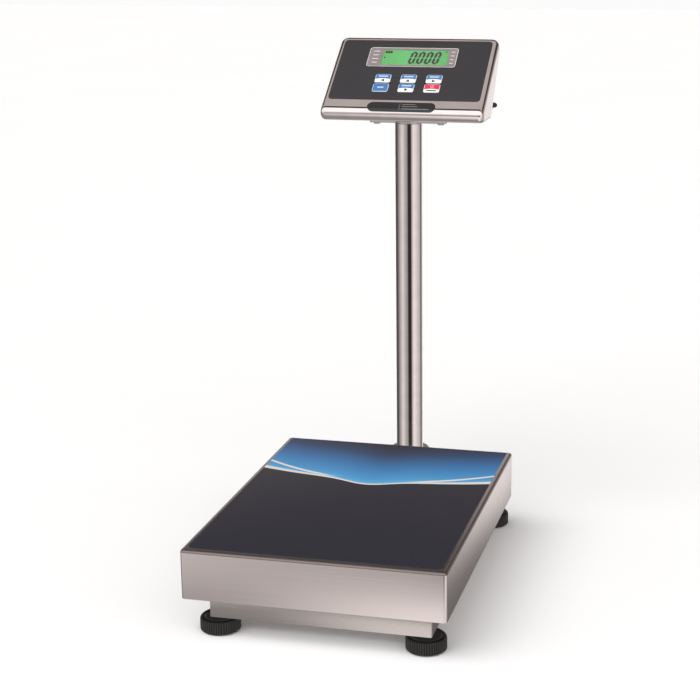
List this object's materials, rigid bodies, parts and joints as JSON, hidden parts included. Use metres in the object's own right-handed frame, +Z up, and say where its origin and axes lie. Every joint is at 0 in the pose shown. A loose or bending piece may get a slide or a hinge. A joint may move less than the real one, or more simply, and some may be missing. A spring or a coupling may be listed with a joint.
{
  "type": "column bench scale",
  "caption": "Bench weighing scale: stainless platter with a printed mat on levelling feet, a round column at the back and a sloping indicator head with a display and keys.",
  "frame": {"origin": "bottom centre of the whole scale's box, on the surface that the feet stand on", "axes": "+Z up along the column, +Y towards the back where the column stands, +X to the right of a person who faces the display"},
  "size_m": [0.3, 0.5498, 0.6244],
  "materials": {
    "brushed_steel": "satin brushed stainless sheet",
    "polished_steel": "mirror polished stainless",
    "zinc_steel": "zinc plated steel",
    "cell_aluminium": "machined aluminium",
    "mat_print": "smooth printed sheet, blue gradient band at the back",
    "panel_film": "satin printed film",
    "window": "clear window with a printed border",
    "display_green": "lit green liquid crystal display",
    "key_blue": "printed blue and white key",
    "key_red": "printed red and white key",
    "foot_black": "black moulded plastic",
    "sole_rubber": "black rubber",
    "circuit_board": "green solder mask",
    "battery_case": "dark battery case",
    "vial": "clear plastic over yellow fluid"
  },
  "bodies": {
    "base": {"left_side_rail": "brushed_steel", "right_side_rail": "brushed_steel", "front_rail": "brushed_steel", "rear_rail": "brushed_steel", "column_socket": "brushed_steel", "column_tube": "polished_steel", "load_cell_beam": "zinc_steel", "upper_spacer": "zinc_steel", "platter_bar_centre": "zinc_steel", "platter_bar_front": "zinc_steel", "platter_bar_rear": "zinc_steel", "column_flange": "zinc_steel", "tilt_bracket": "zinc_steel", "cell_bolt_lower_1": "zinc_steel", "cell_bolt_lower_2": "zinc_steel", "cell_bolt_upper_1": "zinc_steel", "cell_bolt_upper_2": "zinc_steel", "socket_bolt_left": "zinc_steel", "bracket_bolt_left": "zinc_steel", "overload_stop_front_left": "zinc_steel", "rubber_pad_front_left": "sole_rubber", "overload_stop_rear_left": "zinc_steel", "rubber_pad_rear_left": "sole_rubber", "socket_bolt_right": "zinc_steel", "bracket_bolt_right": "zinc_steel", "overload_stop_front_right": "zinc_steel", "rubber_pad_front_right": "sole_rubber", "overload_stop_rear_right": "zinc_steel", "rubber_pad_rear_right": "sole_rubber", "load_cell": "cell_aluminium", "bubble_level": "vial"},
    "platter_unit": {"platter": "brushed_steel", "graphic_mat": "mat_print"},
    "head": {"head_shell": "polished_steel", "rear_cover": "brushed_steel", "overlay_panel": "panel_film", "display_window": "window", "display_module": "display_green", "main_board": "circuit_board", "battery_pack": "battery_case", "info_plate": "panel_film", "inlet_cap": "sole_rubber", "cover_screw_left": "zinc_steel", "cover_screw_right": "zinc_steel", "pivot_bolt_left": "zinc_steel", "pivot_bolt_right": "zinc_steel"},
    "key_left_unit": {"key_left": "key_blue"},
    "key_up_unit": {"key_up": "key_blue"},
    "key_right_unit": {"key_right": "key_blue"},
    "key_set_unit": {"key_set": "key_blue"},
    "key_down_unit": {"key_down": "key_blue"},
    "key_power_unit": {"key_power": "key_red"},
    "sole_front_left": {"foot_sole_front_left": "sole_rubber"},
    "wheel_front_left": {"foot_wheel_front_left": "foot_black"},
    "sole_front_right": {"foot_sole_front_right": "sole_rubber"},
    "wheel_front_right": {"foot_wheel_front_right": "foot_black"},
    "sole_rear_left": {"foot_sole_rear_left": "sole_rubber"},
    "wheel_rear_left": {"foot_wheel_rear_left": "foot_black"},
    "sole_rear_right": {"foot_sole_rear_right": "sole_rubber"},
    "wheel_rear_right": {"foot_wheel_rear_right": "foot_black"}
  },
  "joints": [
    {"name": "platter_lift", "type": "slide", "parent": "base", "child": "platter_unit", "axis": [0, 0, 1], "range_m": [0, 0.12]},
    {"name": "head_tilt", "type": "hinge", "parent": "base", "child": "head", "pos_m": [0, 0.23608, 0.5417], "axis": [-1, 0, 0], "range_deg": [0, 35]},
    {"name": "key_left_press", "type": "slide", "parent": "head", "child": "key_left_unit", "axis": [0, 0.5878, -0.809], "range_m": [0, 0.0006], "stiffness_N_per_m": 1500},
    {"name": "key_up_press", "type": "slide", "parent": "head", "child": "key_up_unit", "axis": [0, 0.5878, -0.809], "range_m": [0, 0.0006], "stiffness_N_per_m": 1500},
    {"name": "key_right_press", "type": "slide", "parent": "head", "child": "key_right_unit", "axis": [0, 0.5878, -0.809], "range_m": [0, 0.0006], "stiffness_N_per_m": 1500},
    {"name": "key_set_press", "type": "slide", "parent": "head", "child": "key_set_unit", "axis": [0, 0.5878, -0.809], "range_m": [0, 0.0006], "stiffness_N_per_m": 1500},
    {"name": "key_down_press", "type": "slide", "parent": "head", "child": "key_down_unit", "axis": [0, 0.5878, -0.809], "range_m": [0, 0.0006], "stiffness_N_per_m": 1500},
    {"name": "key_power_press", "type": "slide", "parent": "head", "child": "key_power_unit", "axis": [0, 0.5878, -0.809], "range_m": [0, 0.0006], "stiffness_N_per_m": 1500},
    {"name": "foot_height_front_left", "type": "slide", "parent": "base", "child": "sole_front_left", "axis": [0, 0, 1], "range_m": [-0.012, 0]},
    {"name": "foot_turn_front_left", "type": "hinge", "parent": "sole_front_left", "child": "wheel_front_left", "pos_m": [-0.1189, -0.23592, 0.009], "axis": [0, 0, 1], "range_deg": [-2880, 0]},
    {"name": "foot_height_front_right", "type": "slide", "parent": "base", "child": "sole_front_right", "axis": [0, 0, 1], "range_m": [-0.012, 0]},
    {"name": "foot_turn_front_right", "type": "hinge", "parent": "sole_front_right", "child": "wheel_front_right", "pos_m": [0.1189, -0.23592, 0.009], "axis": [0, 0, 1], "range_deg": [-2880, 0]},
    {"name": "foot_height_rear_left", "type": "slide", "parent": "base", "child": "sole_rear_left", "axis": [0, 0, 1], "range_m": [-0.012, 0]},
    {"name": "foot_turn_rear_left", "type": "hinge", "parent": "sole_rear_left", "child": "wheel_rear_left", "pos_m": [-0.1189, 0.15557, 0.009], "axis": [0, 0, 1], "range_deg": [-2880, 0]},
    {"name": "foot_height_rear_right", "type": "slide", "parent": "base", "child": "sole_rear_right", "axis": [0, 0, 1], "range_m": [-0.012, 0]},
    {"name": "foot_turn_rear_right", "type": "hinge", "parent": "sole_rear_right", "child": "wheel_rear_right", "pos_m": [0.1189, 0.15557, 0.009], "axis": [0, 0, 1], "range_deg": [-2880, 0]}
  ],
  "couplings": [
    {"joint": "foot_height_front_left", "follows": "foot_turn_front_left", "m_per_rad": 0.00023873},
    {"joint": "foot_height_front_right", "follows": "foot_turn_front_right", "m_per_rad": 0.00023873},
    {"joint": "foot_height_rear_left", "follows": "foot_turn_rear_left", "m_per_rad": 0.00023873},
    {"joint": "foot_height_rear_right", "follows": "foot_turn_rear_right", "m_per_rad": 0.00023873}
  ]
}
